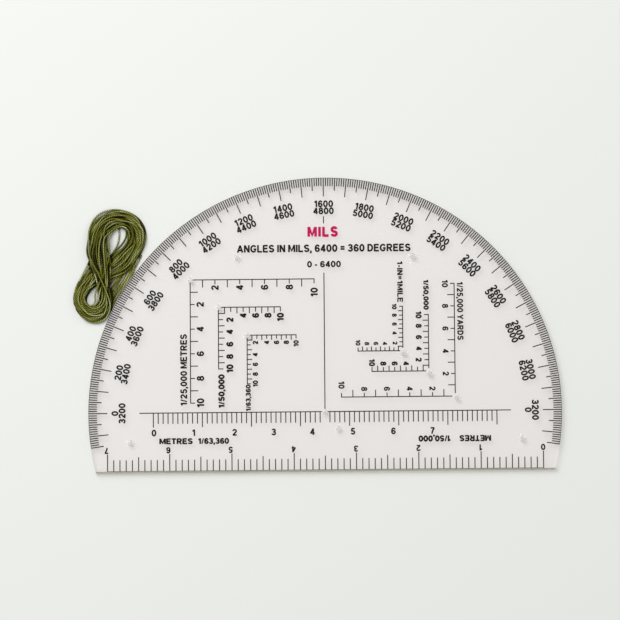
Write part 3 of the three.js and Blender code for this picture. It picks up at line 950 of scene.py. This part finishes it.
def strokeLine(stroke):
    line = []
    for part in stroke:
        if len(part) == 2:
            line.append(part)
            continue
        x, y, rx, ry, start, end = part
        steps = max(3, int(abs(end - start) / arcStep))
        for step in range(steps + 1):
            angle = math.radians(start + (end - start) * step / steps)
            line.append((x + rx * math.cos(angle), y + ry * math.sin(angle)))
    return np.array(line, float)


def addStroke(mesh, line, width, z):
    # a flat bar of one width along a line, closed into a ring where the line's ends meet
    ring = np.linalg.norm(line[0] - line[-1]) < 1e-6
    if ring:
        line = line[:-1]
        before, after = np.roll(line, 1, 0), np.roll(line, -1, 0)
    else:
        before = np.vstack([2 * line[0] - line[1], line[:-1]])
        after = np.vstack([line[1:], 2 * line[-1] - line[-2]])
    normals = []
    for step in (line - before, after - line):
        step = step / np.linalg.norm(step, axis=1)[:, None]
        normals.append(np.stack([-step[:, 1], step[:, 0]], axis=1))
    across = normals[0] + normals[1]
    across /= np.maximum((across * normals[0]).sum(1), 0.5)[:, None]  # 0.5 keeps sharp corners short
    left, right = line + across * width / 2, line - across * width / 2
    rows = [
        [mesh.verts.new((x, y, height)) for x, y in side]
        for side, height in ((left, z), (right, z), (right, -z), (left, -z))
    ]
    count = len(line)
    for i in range(count if ring else count - 1):
        j = (i + 1) % count
        for k in range(4):
            mesh.faces.new((rows[k][i], rows[(k + 1) % 4][i], rows[(k + 1) % 4][j], rows[k][j]))
    if not ring:
        mesh.faces.new([row[0] for row in reversed(rows)])
        mesh.faces.new([row[-1] for row in rows])


def makeLetter(character, stroke):
    # one letter as a single flat solid, one unit thick: its strokes are joined by a union
    mesh = bmesh.new()
    width, strokes = letters[character]
    for number, line in enumerate(strokes):
        thin = slashShare if character == "/" else 1
        addStroke(mesh, strokeLine(line), stroke * thin, 0.5 + unionStep * number)
    bmesh.ops.recalc_face_normals(mesh, faces=mesh.faces)
    data = bpy.data.meshes.new("letter")
    mesh.to_mesh(data)
    mesh.free()
    letter = newPiece("letter", data)
    makeActive(letter)
    if len(strokes) > 1:
        bpy.ops.object.mode_set(mode="EDIT")
        bpy.ops.mesh.select_all(action="SELECT")
        bpy.ops.mesh.intersect_boolean(operation="UNION", use_self=True, solver="EXACT")
        bpy.ops.object.mode_set(mode="OBJECT")
    points = np.array([v.co for v in data.vertices])
    points[:, 2] = np.sign(points[:, 2]) * 0.5
    faces = [list(p.vertices) for p in data.polygons]
    bpy.data.objects.remove(letter)
    return width, points, faces


letterForms = {
    (character, stroke): makeLetter(character, stroke)
    for character in letters for stroke in (letterStroke, boldStroke)
}


def joinForms(forms):
    # many solids' points and faces as one list of each
    points, faces, start = [], [], 0
    for corners, sides in forms:
        points.append(corners)
        faces += [[start + index for index in side] for side in sides]
        start += len(corners)
    return np.vstack(points), faces


def lettering(words, height, x, y, turn=0.0, length=None, stroke=letterStroke, gap=letterGap):
    # words as one thin print, with the middle of their box at x, y, turned counter-clockwise
    forms, along = [], 0.0
    for character in words:
        if character == " ":
            along += wordGap
            continue
        width, corners, sides = letterForms[character, stroke]
        forms.append((corners + (along, -0.5, 0), sides))
        along += width + gap
    points, faces = joinForms(forms)
    wide = along - gap
    points[:, 0] = (points[:, 0] - wide / 2) * (length / wide if length else height * letterWidth)
    points[:, 1] *= height
    points[:, 2] = plateTop + (points[:, 2] + 0.5) * inkThickness
    c, s = math.cos(math.radians(turn)), math.sin(math.radians(turn))
    x, y = x + points[:, 0] * c - points[:, 1] * s, y + arcCentreY + points[:, 0] * s + points[:, 1] * c
    return np.stack([x, y, points[:, 2]], axis=1) * mm, faces


def printPiece(name, texts, ink):
    points, faces = joinForms(texts)
    mesh = bpy.data.meshes.new(name)
    mesh.from_pydata(points.tolist(), [], faces)
    finishPiece(newPiece(name, mesh), name, "printing_ink", ink)


halfTurn = 3200  # mils
milNumbers = {"height": 2.15, "outerRow": 67.6, "innerRow": 65.3, "every": 200}


def printMilNumbers():
    s = milNumbers
    texts = []
    for mils in range(0, halfTurn + 1, s["every"]):
        bearing = math.pi - mils / halfTurn * math.pi
        opposite = (mils + halfTurn) % (2 * halfTurn)
        for row, value in ((s["outerRow"], mils), (s["innerRow"], opposite)):
            x, y = row * math.cos(bearing), row * math.sin(bearing)
            texts.append(lettering(str(value), s["height"], x, y, math.degrees(bearing) - 90))
    printPiece("mil_numbers", texts, blackInk)


# The numbers from 0 up. Those of the base scale aren't spaced as its ticks are, on the real plate either.
straightScales = {
    "base": {"height": 2.1, "y": -6.43, "turn": 0,
             "places": (-55.04, -42.3, -29.1, -16.52, -4.1, 8.93, 21.92, 34.52)},
    "edge": {"height": 1.95, "y": -12.05, "turn": 180,
             "places": (69.93, 49.97, 29.94, 9.87, -10.15, -30.37, -50.43, -70.31)},
}


def printStraightNumbers():
    for name, s in straightScales.items():
        texts = [
            lettering(str(number), s["height"], x, s["y"], s["turn"]) for number, x in enumerate(s["places"])
        ]
        printPiece(name + "_numbers", texts, blackInk)


# Numbers of the corner grids. Each grid's corner and step match the printed lines. beside and below are
# the distances of the numbers' middles from the upright and the level arm, tenBelow that of the 10, and
# shared is the place of a 2 that both arms share.
gridNumbers = {
    "metres_25": {"corner": (-43.2, 43.13), "step": 4, "height": 2.3, "beside": 3.19, "below": 2.6,
                  "tenBelow": 4.4, "way": 1},
    "metres_50": {"corner": (-34.14, 34.14), "step": 2, "height": 2.1, "beside": 3.63, "below": 2.73,
                  "tenBelow": 3.4, "way": 1, "shared": (3.7, 4.1), "stroke": boldStroke},
    "metres_63": {"corner": (-24.92, 24.99), "step": 1.578, "height": 1.6, "beside": 2.6, "below": 2.4,
                  "tenBelow": 2.85, "way": 1, "shared": (2.67, 2.43), "stroke": boldStroke},
    "yards_25": {"corner": (41.93, 4.65), "step": 3.658, "height": 1.9, "beside": 2.95, "below": 2.55,
                 "tenBelow": 3.98, "way": -1},
    "yards_50": {"corner": (33.52, 12.88), "step": 1.829, "height": 1.8, "beside": 3.13, "below": 2.5,
                 "tenBelow": 2.9, "way": -1, "shared": (3.23, 3.66), "stroke": boldStroke},
    "mile": {"corner": (25.23, 19.51), "step": 1.443, "height": 1.42, "beside": 2.63, "below": 2.4,
             "tenBelow": 2.77, "way": -1, "shared": (2.5, 2.5), "stroke": boldStroke},
}


def printGridNumbers():
    texts = []
    for s in gridNumbers.values():
        (x, y), way = s["corner"], s["way"]
        height, turn, stroke = s["height"], 90 * way, s.get("stroke", letterStroke)
        marks = [2, 4, 6, 8, 10]
        if "shared" in s:
            dx, dy = s["shared"]
            number = marks.pop(0)
            texts.append(lettering(str(number), height, x + way * dx, y - way * dy, turn, stroke=stroke))
        for mark in marks:
            reach = mark * s["step"] * way
            drop = s["tenBelow"] if mark == 10 else s["below"]
            for spot in ((x + reach, y - way * drop), (x + way * s["beside"], y - reach)):
                texts.append(lettering(str(mark), height, *spot, turn, stroke=stroke))
    printPiece("grid_numbers", texts, blackInk)


# Words beside the scales: text, height, the middle's x and y, turn, length and stroke
scaleWords = [
    ("METRES", 1.8, -47.95, -9.15, 0, 10.6, boldStroke),
    ("1/63,360", 1.8, -35.95, -9.15, 0, 9.9, boldStroke),
    ("METRES", 1.85, 48.2, -9.0, 180, 10.0, boldStroke),
    ("1/50,000", 1.85, 35.2, -9.0, 180, 10.3, boldStroke),
    ("1/25,000 METRES", 2.1, -45.4, 13.85, 90, 23.3, letterStroke),
    ("1/50,000", 1.9, -33.25, 6.85, 90, 10.9, boldStroke),
    ("1/63,360", 1.5, -24.65, 4.6, 90, 8.6, boldStroke),
    ("1/25,000 YARDS", 1.9, 43.8, 32.3, -90, 19.0, letterStroke),
    ("1/50,000", 1.6, 32.85, 37.7, -90, 9.8, boldStroke),
    ("1-IN=1MILE", 1.75, 24.5, 42.0, -90, 13.4, letterStroke),
    ("ANGLES IN MILS, 6400 = 360 DEGREES", 2.4, 0.0, 53.1, 0, 56, letterStroke),
    ("0 - 6400", 2.0, 0.05, 47.9, 0, 10.8, letterStroke),
]
unitWord = ("MILS", 3.2, -0.3, 58.5, 0, 9.6, boldStroke, unitGap)

printMilNumbers()
printStraightNumbers()
printGridNumbers()
printPiece("scale_words", [lettering(*entry) for entry in scaleWords], blackInk)
printPiece("unit_word", [lettering(*unitWord)], crimsonInk)
print("numbers and words printed")
